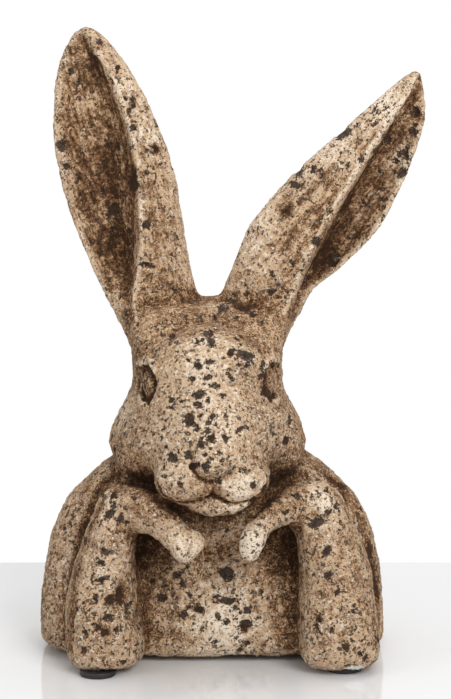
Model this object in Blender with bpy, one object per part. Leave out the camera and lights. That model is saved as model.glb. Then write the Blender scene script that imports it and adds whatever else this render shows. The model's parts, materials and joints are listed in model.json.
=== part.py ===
"""Hare bust: one casting in aged stone, leaning on its elbows, on four round rubber pads.

The casting is modelled as a sculptor would. Closed masses of clay for the body, arms, forearms,
head and ears overlap. A voxel remesh fuses them, a light smoothing rounds the joins, and a few
stamps press the eyes, the nose, the mouth and the toes into the surface. A decimation then keeps
the form with few triangles.

The figure is drawn on a grid, +Z up and facing -Y, with level 0 at its flat underside. Each number
in a form is a count of grid steps. The finished casting is then stretched from the grid's size to
the driving width, depth and height.
"""

import math

import bmesh
import bpy
import numpy as np
from mathutils import Matrix, Vector

# Driving sizes, in metres
FIGURE_WIDTH = 0.2289
FIGURE_DEPTH = 0.1615
FIGURE_HEIGHT = 0.367
PAD_DIAMETER = 0.021
PAD_THICKNESS = 0.003
PAD_EDGE_CHAMFER = 0.0006
PAD_SEAT_GAP = 0.0003

# The drawing grid: the length of a step, and the figure's size on the grid in steps
STEP = 0.001
GRID_WIDTH = 228.9
GRID_DEPTH = 161.5
GRID_HEIGHT = 367.0

# How the grid is stretched along X, Y and Z, and the level that the underside stands at
STRETCH = (
    FIGURE_WIDTH / (GRID_WIDTH * STEP),
    FIGURE_DEPTH / (GRID_DEPTH * STEP),
    FIGURE_HEIGHT / (GRID_HEIGHT * STEP),
)
UNDERSIDE = PAD_THICKNESS + PAD_SEAT_GAP

# Fineness of the modelling
VOXEL = 1.6 * STEP
SKIN_PASSES = 8
FACE_PASSES = 30
RING_SIDES = 48
RINGS_PER_STATION = 7
CASTING_TRIANGLES = 9200
PAD_SIDES = 24

# The back of every level is nearly round
BACK_SQUARENESS = 2.3

# The head is turned a little to the figure's left, about an axis beside the middle
HEAD_TURN = math.radians(3.0)
HEAD_SHIFT = -3.0

# The face is softened between these levels and in front of this depth, each with its fading edge
FACE_BOTTOM = (100.0, 110.0)
FACE_TOP = (204.0, 192.0)
FACE_BACK = (20.0, 0.0)

# The crown of the skull: level, half width, and depth behind the middle
CROWN = (205.0, 28.0, 20.0)

# Ears: depth at the base, wall behind the cup, levels where the cup starts and is full
EAR_DEPTH = 35.0
EAR_WALL = 10.0
CUP_START = 197.0
CUP_FULL = 236.0

# Eyes: place and half sizes
EYE_ASIDE = 38.0
EYE_FORWARD = 31.0
EYE_LEVEL = 163.5
EYE_HALF_LENGTH = 11.0
EYE_HALF_HEIGHT = 7.4

# Pads: name and centre on the grid
PADS = {
    "pad_front_right": (-66.0, -64.5),
    "pad_front_left": (77.0, -54.0),
    "pad_back_right": (-58.0, 48.0),
    "pad_back_left": (56.0, 48.0),
}

STONE = (0.50, 0.39, 0.27, 1.0)
STONE_ROUGHNESS = 0.92
RUBBER = (0.012, 0.011, 0.011, 1.0)
RUBBER_ROUGHNESS = 0.7


def clear_scene():
    """Removes whatever the startup scene holds."""
    for thing in list(bpy.data.objects):
        bpy.data.objects.remove(thing)


def material(name, colour, roughness):
    """A plain finish for one kind of piece."""
    made = bpy.data.materials.new(name)
    made.use_nodes = True
    shader = made.node_tree.nodes["Principled BSDF"]
    shader.inputs["Base Color"].default_value = colour
    shader.inputs["Roughness"].default_value = roughness
    shader.inputs["Metallic"].default_value = 0.0
    return made


def catmull_rom(rows, per_span, closed=False):
    """Rows of numbers filled in between by a smooth curve that passes through each of them."""
    rows = np.asarray(rows, float)
    count = len(rows)
    spans = count if closed else count - 1
    steps = np.linspace(0.0, 1.0, per_span, endpoint=False)[:, None]
    filled = []
    for i in range(spans):
        if closed:
            a, b, c, d = (rows[(i + k) % count] for k in (-1, 0, 1, 2))
        else:
            a, b = rows[max(i - 1, 0)], rows[i]
            c, d = rows[i + 1], rows[min(i + 2, count - 1)]
        filled.append(
            b
            + 0.5 * steps * (c - a)
            + steps**2 * (a - 2.5 * b + 2 * c - 0.5 * d)
            + steps**3 * (1.5 * (b - c) + 0.5 * (d - a))
        )
    if not closed:
        filled.append(rows[-1:])
    return np.concatenate(filled)


def signed_power(value, exponent):
    """The power that squares off a circle into a superellipse."""
    return np.sign(value) * np.abs(value) ** exponent


def ramp(value, start, end):
    """Rises evenly from 0 at start to 1 at end."""
    return min(max((value - start) / (end - start), 0.0), 1.0)


def bump(distance, width):
    """A smooth hump that is 1 at distance 0 and 0 from width on."""
    return np.clip(1 - (distance / width) ** 2, 0, 1) ** 2


def from_path(u, v, path):
    """Distance in the stamp's plane from each point to a polyline."""
    best = np.full(u.shape, np.inf)
    for (au, av), (bu, bv) in zip(path[:-1], path[1:]):
        du, dv = bu - au, bv - av
        t = np.clip(((u - au) * du + (v - av) * dv) / (du * du + dv * dv), 0, 1)
        best = np.minimum(best, np.hypot(u - au - t * du, v - av - t * dv))
    return best


class Clay:
    """The masses of one figure, gathered as closed shells in a single mesh."""

    def __init__(self):
        self.shells = bmesh.new()

    def loft(self, rings):
        """Closes a stack of rings, each an array of points in grid steps, into one shell."""
        rows = [
            [self.shells.verts.new(Vector(point) * STEP) for point in ring]
            for ring in rings
        ]
        sides = len(rows[0])
        faces = [
            self.shells.faces.new((low[i], low[(i + 1) % sides], high[(i + 1) % sides], high[i]))
            for low, high in zip(rows, rows[1:])
            for i in range(sides)
        ]
        faces.append(self.shells.faces.new(rows[0][::-1]))
        faces.append(self.shells.faces.new(rows[-1]))
        bmesh.ops.recalc_face_normals(self.shells, faces=faces)

    def level_loft(self, stations, middle):
        """A mass described level by level.

        Each station is (z, centre x, half width, front y, back y, squareness). A squareness of 2
        makes the front half an ellipse, less makes it a wedge and more a box. middle is the y of
        the greatest width.
        """
        angles = np.linspace(0.0, 2 * math.pi, RING_SIDES, endpoint=False)
        in_front = np.sin(angles) < 0
        rings = []
        for z, centre, half, front, back, squareness in catmull_rom(stations, RINGS_PER_STATION):
            power = np.where(in_front, 2 / squareness, 2 / BACK_SQUARENESS)
            reach = np.where(in_front, middle - front, back - middle)
            x = centre + half * signed_power(np.cos(angles), power)
            y = middle + reach * signed_power(np.sin(angles), power)
            rings.append(np.stack([x, y, np.full_like(x, z)], axis=1))
        self.loft(rings)

    def limb(self, stations):
        """A round-ended limb. Each station is (x, y, z, radius across, radius in depth)."""
        rows = catmull_rom(stations, RINGS_PER_STATION)
        tangents = np.gradient(rows[:, :3], axis=0)
        angles = np.linspace(0.0, 2 * math.pi, RING_SIDES // 2, endpoint=False)
        rings = []
        for (x, y, z, across, deep), tangent in zip(rows, tangents):
            along = Vector(tangent).normalized()
            depth = (Vector((0, 1, 0)) - along * along.y).normalized()
            side = depth.cross(along)
            rings.append(
                [
                    Vector((x, y, z)) + side * (across * math.cos(a)) + depth * (deep * math.sin(a))
                    for a in angles
                ]
            )
        self.loft(rings)
        for x, y, z, across, deep in (rows[0], rows[-1]):
            self.ball((x, y, z), (across, deep, min(across, deep)))

    def ball(self, centre, radii):
        """An ellipsoid."""
        place = Matrix.Translation(Vector(centre) * STEP) @ Matrix.Diagonal((*(Vector(radii) * STEP), 1.0))
        bmesh.ops.create_icosphere(self.shells, subdivisions=4, radius=1.0, matrix=place)

    def count(self):
        """The number of vertices made so far."""
        return len(self.shells.verts)

    def turn_head(self, first):
        """Turns what was made since vertex number first as the head is turned."""
        self.shells.verts.ensure_lookup_table()
        place = Matrix.Translation((HEAD_SHIFT * STEP, 0, 0)) @ Matrix.Rotation(HEAD_TURN, 4, "Z")
        bmesh.ops.transform(self.shells, matrix=place, verts=self.shells.verts[first:])

    def mesh(self, name):
        """The gathered shells as one mesh."""
        made = bpy.data.meshes.new(name)
        self.shells.to_mesh(made)
        self.shells.free()
        return made


def add_body(clay):
    """The domed back and shoulders, cut flat below, and the throat behind the paws."""
    clay.level_loft(
        [
            (0, 0, 99, -38, 69, 3.6),
            (3, 0, 102.2, -42, 73, 3.6),
            (9, 0, 103.2, -44, 75, 3.5),
            (22, 0, 103, -44.5, 76, 3.3),
            (40, 0, 101.2, -40, 77, 3.0),
            (58, 0, 98.2, -34, 76, 2.7),
            (74, 0, 93, -29, 73, 2.5),
            (88, 0, 85, -27, 68, 2.3),
            (104, 0.5, 68.5, -25, 60, 2.2),
            (112, 0.5, 57, -24, 56, 2.2),
            (124, 0, 46, -22, 51.5, 2.1),
            (140, 0, 36, -16, 47, 2.0),
            (158, 0, 26, -10, 41, 2.0),
        ],
        middle=4,
    )
    clay.ball((2, -22, 92), (42, 20, 34))


def add_arms(clay):
    """Two upright arms on rounded elbows, and the forearms that hang their paws under the chin."""
    right_arm = [
        (0, -62.5, 17.5, -68, -24, 2.7),
        (3, -62.3, 21.8, -72.5, -20, 2.7),
        (11, -62, 23.2, -75, -17, 2.6),
        (24, -63.2, 22.6, -75, -15, 2.4),
        (40, -64, 21, -72, -14, 2.2),
        (60, -62, 17.6, -68, -16, 2.1),
        (78, -58, 15, -65, -21, 2),
        (90, -54, 13.5, -62, -28, 2),
    ]
    left_arm = [
        (0, 74.8, 18.5, -68, -24, 2.8),
        (3, 74.8, 22.6, -72.5, -20, 2.8),
        (11, 74.2, 24, -75, -17, 2.7),
        (24, 73.5, 23.2, -75, -15, 2.4),
        (40, 72.8, 22.2, -72, -14, 2.2),
        (60, 71, 20.5, -68, -16, 2.1),
        (78, 66, 18, -65, -21, 2),
        (89, 61, 17, -62, -28, 2),
    ]
    for arm in (right_arm, left_arm):
        clay.level_loft(arm, middle=-46)
    clay.ball((-53, -45, 89), (15, 16, 14.5))
    clay.ball((60, -45, 89.5), (18.5, 16.5, 16.5))
    clay.limb(
        [
            (-52, -46, 91, 14.5, 15),
            (-41, -53, 91.5, 13.6, 13.5),
            (-33, -59, 89.5, 11.4, 12),
            (-27, -63, 86, 10, 11),
            (-21.5, -66, 81, 9.4, 10),
            (-17.5, -68, 75.5, 9, 9),
            (-16, -69, 71.5, 7.8, 7.8),
        ]
    )
    clay.ball((-9.5, -67, 76.5), (6.5, 8, 7.5))
    clay.limb(
        [
            (59, -46, 94, 14.5, 15),
            (50.5, -51, 95.5, 12.4, 13),
            (43.5, -56, 94, 10.2, 11.5),
            (37, -60, 91, 8.2, 10.5),
            (30.5, -64, 87.3, 7, 9.5),
            (25.5, -67, 82.5, 7.4, 9),
            (23, -69, 76, 7.8, 8.5),
            (22, -70, 71, 6.6, 7),
        ]
    )


def add_head(clay):
    """Skull and cheeks, the domed forehead, the muzzle with its two lips, the nose and the chin."""
    first = clay.count()
    crown_level, crown_half, crown_back = CROWN
    clay.level_loft(
        [
            (94, 0, 26, -36, 26, 2.1),
            (100, 0, 38, -45, 34, 2.1),
            (107, 0, 49, -52, 40, 2.1),
            (121, 0, 58.4, -65, 45, 1.95),
            (129, 0, 57.2, -71.5, 46, 1.85),
            (137, 0, 54.2, -74, 46, 1.8),
            (154, 0, 45.5, -63.5, 44, 2.1),
            (164, 0, 44, -57, 42, 2.2),
            (184, 0, 45.5, -38, 37, 2.2),
            (193, 0, 46.5, -28, 33, 2.1),
            (200, 0, 42, -18, 28, 2.0),
            (crown_level, 0, crown_half, -8, crown_back, 2.0),
        ],
        middle=-6,
    )
    clay.ball((0, -27, 165), (38, 31, 31))
    clay.limb(
        [
            (0, -38, 158, 28, 22),
            (0, -45, 146, 28.5, 24),
            (0, -52, 134, 30, 25.5),
            (0, -56, 122, 32.5, 26),
            (0, -55, 114, 32.5, 24.5),
            (0, -55, 109.5, 28, 17),
        ]
    )
    for side in (-1, 1):
        clay.ball((side * 34, -18, 121), (23, 30, 19.5))
        clay.ball((side * 15.5, -63, 112.5), (18.5, 18, 14.5))
    clay.ball((0, -71.5, 125.5), (14, 14, 12))
    clay.ball((3, -55.5, 100.3), (24, 18.5, 8.6))
    clay.turn_head(first)


def ear_section(rim, ridge, inner, middle, deep, cup):
    """The level outline of an ear, as (x, y) corners of a smooth closed curve.

    rim, ridge and inner are the x of its outer rim, front ridge and inner side. The cup opens
    between the rim and the ridge, by a share from 0 to 1.
    """
    front, back = middle - 0.55 * deep, middle + 0.45 * deep
    rim_y, inner_y = middle - 0.06 * deep, middle + 0.02 * deep
    filled = middle - 0.42 * deep
    floor = back - min(EAR_WALL, 0.62 * deep)
    open_y = filled + (floor - filled) * cup
    across = inner - rim
    to_ridge = ridge - rim
    lip = math.copysign(min(1.0, abs(across) / 30), across)
    return [
        (rim, rim_y),
        (rim + 2.2 * lip, rim_y - 0.12 * deep),
        (rim + 0.24 * to_ridge, rim_y + 0.30 * (open_y - rim_y)),
        (rim + 0.48 * to_ridge, rim_y + 0.78 * (open_y - rim_y)),
        (rim + 0.70 * to_ridge, open_y),
        (rim + 0.86 * to_ridge, open_y + 0.42 * (front - open_y)),
        (ridge - 2.4 * lip, front + 0.10 * deep),
        (ridge + 0.4 * lip, front),
        (ridge + 3.4 * lip, front + 0.05 * deep),
        (ridge + 0.76 * (inner - ridge), front + 0.26 * deep),
        (inner, inner_y),
        (inner - 0.16 * across, middle + 0.33 * deep),
        (inner - 0.45 * across, back),
        (rim + 0.26 * across, back - 0.10 * deep),
        (rim + 0.07 * across, rim_y + 0.20 * deep),
    ]


def add_ear(clay, stations, base_y, lean):
    """One long cupped ear, leaning back by lean steps from base to tip.

    Each station is (z, x of the outer rim, x of the front ridge, x of the inner side). The depth
    fades towards the tip, and the cup opens above the base.
    """
    rows = catmull_rom(stations, RINGS_PER_STATION)
    low, high = rows[0, 0], rows[-1, 0]
    rings = []
    for z, rim, ridge, inner in rows:
        share = (z - low) / (high - low)
        deep = EAR_DEPTH * math.sqrt(max(1 - share**3, 0.06))
        cup = ramp(z, CUP_START, CUP_FULL)
        cup = cup * cup * (3 - 2 * cup)
        section = ear_section(rim, ridge, inner, base_y + lean * share, deep, cup)
        plan = catmull_rom(section, 5, closed=True)
        rings.append(np.column_stack([plan, np.full(len(plan), z)]))
    clay.loft(rings)


def add_ears(clay):
    """The upright ear on the figure's right, the one that falls outward on its left, the poll."""
    upright = [
        (172, -46, -36, 0),
        (186, -53, -42, -1),
        (198, -59, -46.5, -3),
        (211, -65, -45.5, -8.5),
        (225, -71.5, -43, -12.5),
        (254, -83.3, -42.2, -17),
        (283, -91.2, -44, -22.7),
        (311, -94, -49.5, -33),
        (339, -91.5, -60.5, -46.7),
        (358, -84.6, -71.5, -61),
        (366, -78, -75.5, -71.5),
    ]
    outward = [
        (172, 41, 33, -3),
        (186, 47, 38, -1),
        (198, 53, 43, 1.5),
        (211, 60.5, 48.3, 6),
        (225, 77, 53.8, 12),
        (239, 92, 61.2, 17),
        (254, 103, 68.8, 25),
        (282, 116.5, 85.5, 50),
        (311, 126, 104, 83.3),
        (331, 124.6, 117, 106),
        (340.5, 122.5, 121, 118.5),
    ]
    add_ear(clay, upright, base_y=6, lean=16)
    add_ear(clay, outward, base_y=6, lean=14)
    clay.ball((-2, 10, 188), (34, 22, 19))


def soften(figure, passes, share=None):
    """Smooths the skin, everywhere or by a share from 0 to 1 that depends on the place."""
    smooth = figure.modifiers.new("Soften", "SMOOTH")
    smooth.factor = 0.5
    smooth.iterations = passes
    if share is not None:
        group = figure.vertex_groups.new(name="Softened")
        for vertex in figure.data.vertices:
            group.add([vertex.index], share(*(vertex.co / STEP)), "REPLACE")
        smooth.vertex_group = group.name
    bpy.ops.object.modifier_apply(modifier=smooth.name)
    figure.vertex_groups.clear()


def face_share(x, y, z):
    """Where the blended masses of the face are worked over."""
    return ramp(z, *FACE_BOTTOM) * ramp(z, *FACE_TOP) * ramp(y, *FACE_BACK)


def fused(clay):
    """The masses fused into one skin by a voxel remesh and smoothed, as an object."""
    figure = bpy.data.objects.new("hare", clay.mesh("hare"))
    bpy.context.scene.collection.objects.link(figure)
    bpy.context.view_layer.objects.active = figure
    remesh = figure.modifiers.new("Fuse", "REMESH")
    remesh.mode = "VOXEL"
    remesh.voxel_size = VOXEL
    bpy.ops.object.modifier_apply(modifier=remesh.name)
    soften(figure, SKIN_PASSES)
    soften(figure, FACE_PASSES, face_share)
    return figure


class Stamp:
    """Presses or raises the skin of a mesh in a flat frame that faces it."""

    def __init__(self, mesh):
        self.mesh = mesh
        self.points = self.read("co")
        self.normals = self.read("normal")

    def read(self, name):
        """One vector of each vertex, as rows."""
        values = np.empty(len(self.mesh.vertices) * 3, np.float32)
        self.mesh.vertices.foreach_get(name, values)
        return values.reshape(-1, 3).astype(float)

    def press(self, centre, facing, upward, reach, depth, height):
        """Moves the skin along facing by height(u, v), all in grid steps.

        u runs to the right and v upward as one who looks at the stamp's place sees them. Only skin
        within reach of the centre in u and v, and within depth of it, is moved.
        """
        out = Vector(facing).normalized()
        up = (Vector(upward) - out * out.dot(Vector(upward))).normalized()
        right = up.cross(out)
        offset = self.points / STEP - np.array(centre, float)
        u, v, n = (offset @ np.array(axis) for axis in (right, up, out))
        near = (np.abs(u) < reach) & (np.abs(v) < reach) & (np.abs(n) < depth)
        near &= self.normals @ np.array(out) > 0.05
        lift = np.where(near, height(u, v), 0.0)
        self.points += lift[:, None] * np.array(out) * STEP

    def flatten_underside(self):
        """Brings what lies within half a voxel of level 0, or below it, onto that plane."""
        low = self.points[:, 2] < 0.5 * VOXEL
        self.points[low, 2] = 0.0

    def apply(self):
        """Writes the moved points back to the mesh."""
        self.mesh.vertices.foreach_set("co", self.points.astype(np.float32).ravel())
        self.mesh.update()


def almond():
    """The closed outline of an eye, its corners on the u axis."""
    turns = np.linspace(0, 2 * math.pi, 33)
    across = EYE_HALF_LENGTH * np.cos(turns)
    up = EYE_HALF_HEIGHT * signed_power(np.sin(turns), 1.3)
    return list(zip(across, up))


def carve_eyes(stamp, head):
    """A ball between two lids, sunk under a low brow, on each side of the head."""
    lids = almond()
    brow_line = catmull_rom([(-13, 8), (-6, 12), (0, 13), (6, 12), (13, 8)], 3)

    def eye(u, v):
        from_centre = np.hypot(u * 0.75, v)
        lid_groove = -1.8 * bump(from_path(u, v, lids), 3.0)
        ball = 3.4 * bump(from_centre, 8.0)
        socket = -4.4 * bump(from_centre, 11.5)
        brow = 1.1 * bump(from_path(u, v, brow_line), 5.5)
        return lid_groove + ball + socket + brow

    for side in (-1, 1):
        centre = head @ Vector((side * EYE_ASIDE, -EYE_FORWARD, EYE_LEVEL))
        facing = head.to_3x3() @ Vector((side * 0.80, -0.60, 0.06))
        upward = head.to_3x3() @ Vector((side * 0.35, -0.45, 0.80))
        stamp.press(centre, facing, upward, 20, 14, eye)


def carve_muzzle(stamp, head):
    """The groove round the nose, the cleft below it and the line of the mouth."""
    nose_line = catmull_rom(
        [(-12.8, 8), (-12, 2), (-8.5, -3.6), (-3.5, -6.4), (0, -7), (4, -6.2), (9, -3.2), (12, 1.5)],
        4,
    )
    cleft_line = [(0, -7), (-0.6, -11), (-0.8, -16.5)]
    right_lip = [(-27, -18.5), (-22, -21), (-16, -21.8), (-8.5, -20.2)]
    left_lip = [(7.5, -20.8), (14, -22.2), (21, -21), (26.5, -18)]
    mouth_line = catmull_rom([*right_lip, cleft_line[-1], *left_lip], 3)

    def muzzle(u, v):
        nose = -2.3 * bump(from_path(u, v, nose_line), 3.2)
        cleft = -2.2 * bump(from_path(u, v, cleft_line), 2.6)
        mouth = -2.2 * bump(from_path(u, v, mouth_line), 2.4)
        return nose + cleft + mouth

    centre = head @ Vector((0, -78, 122))
    facing = head.to_3x3() @ Vector((0, -1, -0.1))
    stamp.press(centre, facing, (0, 0, 1), 31, 14, muzzle)


def carve_toes(stamp):
    """One short groove that parts the toes of each paw."""

    def toe_gap(u, v):
        return -1.6 * bump(from_path(u, v, [(0, 4), (0.6, -7)]), 2.2)

    for x in (-12.5, 18.5):
        stamp.press((x, -73, 73), (0, -1, 0), (0, 0, 1), 10, 9, toe_gap)


def add_casting(stone):
    """The whole figure in one piece of cast stone."""
    clay = Clay()
    add_body(clay)
    add_arms(clay)
    add_head(clay)
    add_ears(clay)
    figure = fused(clay)
    head = Matrix.Translation((HEAD_SHIFT, 0, 0)) @ Matrix.Rotation(HEAD_TURN, 4, "Z")
    stamp = Stamp(figure.data)
    carve_eyes(stamp, head)
    carve_muzzle(stamp, head)
    carve_toes(stamp)
    stamp.flatten_underside()
    stamp.apply()
    thin_out = figure.modifiers.new("Fewer faces", "DECIMATE")
    figure.data.calc_loop_triangles()
    thin_out.ratio = CASTING_TRIANGLES / len(figure.data.loop_triangles)
    bpy.ops.object.modifier_apply(modifier=thin_out.name)
    figure.data.transform(Matrix.Diagonal((*STRETCH, 1.0)))
    figure.data.shade_smooth()
    figure.data.materials.append(stone)
    figure.location.z = UNDERSIDE
    return figure


def add_pad(name, centre, rubber):
    """One round pad under the casting, its lower edge chamfered."""
    shell = bmesh.new()
    bmesh.ops.create_cone(
        shell,
        cap_ends=True,
        segments=PAD_SIDES,
        radius1=PAD_DIAMETER / 2,
        radius2=PAD_DIAMETER / 2,
        depth=PAD_THICKNESS,
    )
    rim = [edge for edge in shell.edges if all(vert.co.z < 0 for vert in edge.verts)]
    bmesh.ops.bevel(shell, geom=rim, offset=PAD_EDGE_CHAMFER, segments=1, affect="EDGES")
    mesh = bpy.data.meshes.new(name)
    shell.to_mesh(mesh)
    shell.free()
    mesh.shade_smooth()
    mesh.set_sharp_from_angle(angle=math.radians(40))
    mesh.materials.append(rubber)
    pad = bpy.data.objects.new(name, mesh)
    across, deep = (centre[axis] * STEP * STRETCH[axis] for axis in (0, 1))
    pad.location = (across, deep, PAD_THICKNESS / 2)
    bpy.context.scene.collection.objects.link(pad)
    return pad


def centre_on_floor(pieces):
    """Moves all pieces so that the middle of their box stands on the origin."""
    bpy.context.view_layer.update()
    points = [piece.matrix_world @ vertex.co for piece in pieces for vertex in piece.data.vertices]
    corners = np.array(points)
    middle = (corners.min(axis=0) + corners.max(axis=0)) / 2
    for piece in pieces:
        piece.location.x -= middle[0]
        piece.location.y -= middle[1]


def main():
    """Builds the casting and its pads."""
    clear_scene()
    stone = material("cast_stone", STONE, STONE_ROUGHNESS)
    rubber = material("pad_rubber", RUBBER, RUBBER_ROUGHNESS)
    casting = add_casting(stone)
    pads = [add_pad(name, centre, rubber) for name, centre in PADS.items()]
    centre_on_floor([casting, *pads])


if __name__ == "__main__":
    main()
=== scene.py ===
"""Looks of a garden hare in aged cast stone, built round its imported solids."""
import json
import logging
import math
from dataclasses import dataclass, field
from enum import Enum

import bpy
import numpy as np
from mathutils import Matrix, Vector
from mathutils.bvhtree import BVHTree
from mathutils.kdtree import KDTree

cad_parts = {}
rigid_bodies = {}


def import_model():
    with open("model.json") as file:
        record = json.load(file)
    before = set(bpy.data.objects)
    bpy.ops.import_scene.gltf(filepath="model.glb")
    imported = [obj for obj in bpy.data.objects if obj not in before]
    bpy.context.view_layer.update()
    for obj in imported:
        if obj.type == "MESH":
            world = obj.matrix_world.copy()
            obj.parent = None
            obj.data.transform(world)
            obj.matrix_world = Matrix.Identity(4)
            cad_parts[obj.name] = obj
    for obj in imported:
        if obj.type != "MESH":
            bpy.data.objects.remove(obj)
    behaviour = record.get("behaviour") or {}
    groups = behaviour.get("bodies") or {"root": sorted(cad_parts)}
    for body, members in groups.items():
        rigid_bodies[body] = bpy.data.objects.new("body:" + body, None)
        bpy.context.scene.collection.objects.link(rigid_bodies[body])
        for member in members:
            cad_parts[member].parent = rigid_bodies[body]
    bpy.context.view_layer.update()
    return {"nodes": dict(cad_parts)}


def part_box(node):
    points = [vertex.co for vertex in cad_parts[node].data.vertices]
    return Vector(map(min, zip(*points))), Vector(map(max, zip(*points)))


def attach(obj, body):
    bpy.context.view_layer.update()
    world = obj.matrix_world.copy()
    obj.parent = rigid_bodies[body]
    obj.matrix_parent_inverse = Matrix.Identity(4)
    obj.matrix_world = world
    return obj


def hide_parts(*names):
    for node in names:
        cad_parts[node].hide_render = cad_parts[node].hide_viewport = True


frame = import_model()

log = logging.getLogger("hare")

MM = 0.001
SEED = 1907

# The head's place in the figure: it is turned a little to the figure's own left
HEAD = Matrix.Translation((-14.3, 3.8, 3.3)) @ Matrix.Rotation(math.radians(3.0), 4, "Z")

Point = tuple[float, float]
Number = "Wire | float"
Colour = tuple[float, float, float, float]
# A pit's centre, normal, half length, half width and turn, in millimetres and radians
Pit = tuple[Vector, Vector, float, float, float]


class Attribute(Enum):
    """What is kept at each point of the stone's skin for its finish."""

    PIT = "pit"
    # Brown patina in the hollows, deepened by painted shade where the skin is shut in or lies in a
    # groove
    PATINA_AND_SHADE = "recess"
    # Cream on rubbed heights, with painted highlight on some pale patches of the front
    WEAR_AND_HIGHLIGHT = "wear"
    CHIP = "chip"


class Noise(Enum):
    """How the lumps of a texture meet."""

    SOFT = "SOFT_NOISE"
    HARD = "HARD_NOISE"


# Tools for meshes


def added(name: str, data: bpy.types.ID) -> bpy.types.Object:
    """Adds an object to the scene."""
    new = bpy.data.objects.new(name, data)
    bpy.context.scene.collection.objects.link(new)
    return new


def only(piece: bpy.types.Object) -> None:
    """Makes a piece the only selected and the active object."""
    for other in bpy.context.view_layer.objects:
        other.select_set(False)
    piece.select_set(True)
    bpy.context.view_layer.objects.active = piece


def modify(piece: bpy.types.Object, kind: str, **settings: object) -> None:
    """Adds a modifier to a piece and applies it.

    Args:
        piece: The object to change.
        kind: The modifier's type.
        settings: The modifier's settings by name.
    """
    only(piece)
    modifier = piece.modifiers.new(kind.title(), kind)
    for name, value in settings.items():
        setattr(modifier, name, value)
    bpy.ops.object.modifier_apply(modifier=modifier.name)


def vectors(mesh: bpy.types.Mesh, name: str) -> np.ndarray:
    """Reads a vector of each vertex, co or normal, as rows of three numbers."""
    values = np.empty(len(mesh.vertices) * 3, np.float32)
    mesh.vertices.foreach_get(name, values)
    return values.reshape(-1, 3).astype(float)


def skin(piece: bpy.types.Object) -> tuple[np.ndarray, np.ndarray]:
    """Reads a piece's points, in millimetres, and their normals."""
    return vectors(piece.data, "co") / MM, vectors(piece.data, "normal")


def place_points(mesh: bpy.types.Mesh, points: np.ndarray) -> None:
    """Writes the places of all vertices, one row for each, in metres."""
    mesh.vertices.foreach_set("co", points.astype(np.float32).ravel())
    mesh.update()


def store(mesh: bpy.types.Mesh, attribute: Attribute, values: np.ndarray) -> None:
    """Keeps one number for each vertex under a name that a finish reads."""
    kept = mesh.attributes.new(attribute.value, "FLOAT", "POINT")
    kept.data.foreach_set("value", values.astype(np.float32))


def smoothstep(value: np.ndarray, start: float, end: float) -> np.ndarray:
    """Rises smoothly from 0 at start to 1 at end."""
    share = np.clip((value - start) / (end - start), 0, 1)
    return share * share * (3 - 2 * share)


def hump(distance: np.ndarray, width: float) -> np.ndarray:
    """A smooth hump, 1 at distance 0 and 0 from width on."""
    return np.clip(1 - (distance / width) ** 2, 0, 1) ** 2


def from_path(u: np.ndarray, v: np.ndarray, path: list[Point]) -> np.ndarray:
    """Finds the distance in a plane from points to a polyline.

    Args:
        u: The points' places across.
        v: The points' places upward.
        path: The polyline's corners.

    Returns:
        One distance for each point.
    """
    best = np.full(u.shape, np.inf)
    for (au, av), (bu, bv) in zip(path[:-1], path[1:]):
        du, dv = bu - au, bv - av
        along = np.clip(((u - au) * du + (v - av) * dv) / (du * du + dv * dv), 0, 1)
        best = np.minimum(best, np.hypot(u - au - along * du, v - av - along * dv))
    return best


def curve_through(corners: list[Point], per_span: int = 6) -> list[Point]:
    """Draws a smooth open curve through corners.

    Args:
        corners: The points that the curve passes through.
        per_span: How many points each span gets.

    Returns:
        The curve's points.
    """
    rows = np.array([corners[0], *corners, corners[-1]], float)
    drawn = []
    for a, b, c, d in zip(rows, rows[1:], rows[2:], rows[3:]):
        for t in np.linspace(0, 1, per_span, endpoint=False):
            bend = t * t * (2 * a - 5 * b + 4 * c - d) + t**3 * (3 * b - a - 3 * c + d)
            drawn.append(tuple(b + 0.5 * (t * (c - a) + bend)))
    return [*drawn, corners[-1]]


# Tools for materials


class Wire:
    """A number that runs between nodes, on which arithmetic adds Math nodes."""

    def __init__(self, nodes: "Nodes", socket: bpy.types.NodeSocket) -> None:
        """Wraps an output socket of a node."""
        self.nodes = nodes
        self.socket = socket

    def math(self, operation: str, first: Number, second: Number) -> "Wire":
        """Adds a Math node and gives its result."""
        return self.nodes.add("ShaderNodeMath", {"operation": operation}, {0: first, 1: second})

    def __add__(self, other: Number) -> "Wire":
        """This plus other."""
        return self.math("ADD", self, other)

    __radd__ = __add__

    def __sub__(self, other: Number) -> "Wire":
        """This minus other."""
        return self.math("SUBTRACT", self, other)

    def __rsub__(self, other: float) -> "Wire":
        """Other minus this."""
        return self.math("SUBTRACT", other, self)

    def __mul__(self, other: Number) -> "Wire":
        """This times other."""
        return self.math("MULTIPLY", self, other)

    __rmul__ = __mul__

    def varied(self, *patterns: tuple["Wire", Number]) -> "Wire":
        """This plus patterns that lie around 0.5, each by its own strength."""
        result = self
        for pattern, strength in patterns:
            result = result + (pattern - 0.5) * strength
        return result

    def ease(self, start: Number, end: Number) -> "Wire":
        """A number that rises smoothly from 0 at start to 1 at end."""
        return self.nodes.add(
            "ShaderNodeMapRange",
            {"interpolation_type": "SMOOTHSTEP"},
            {"Value": self, "From Min": start, "From Max": end},
        )


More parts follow.
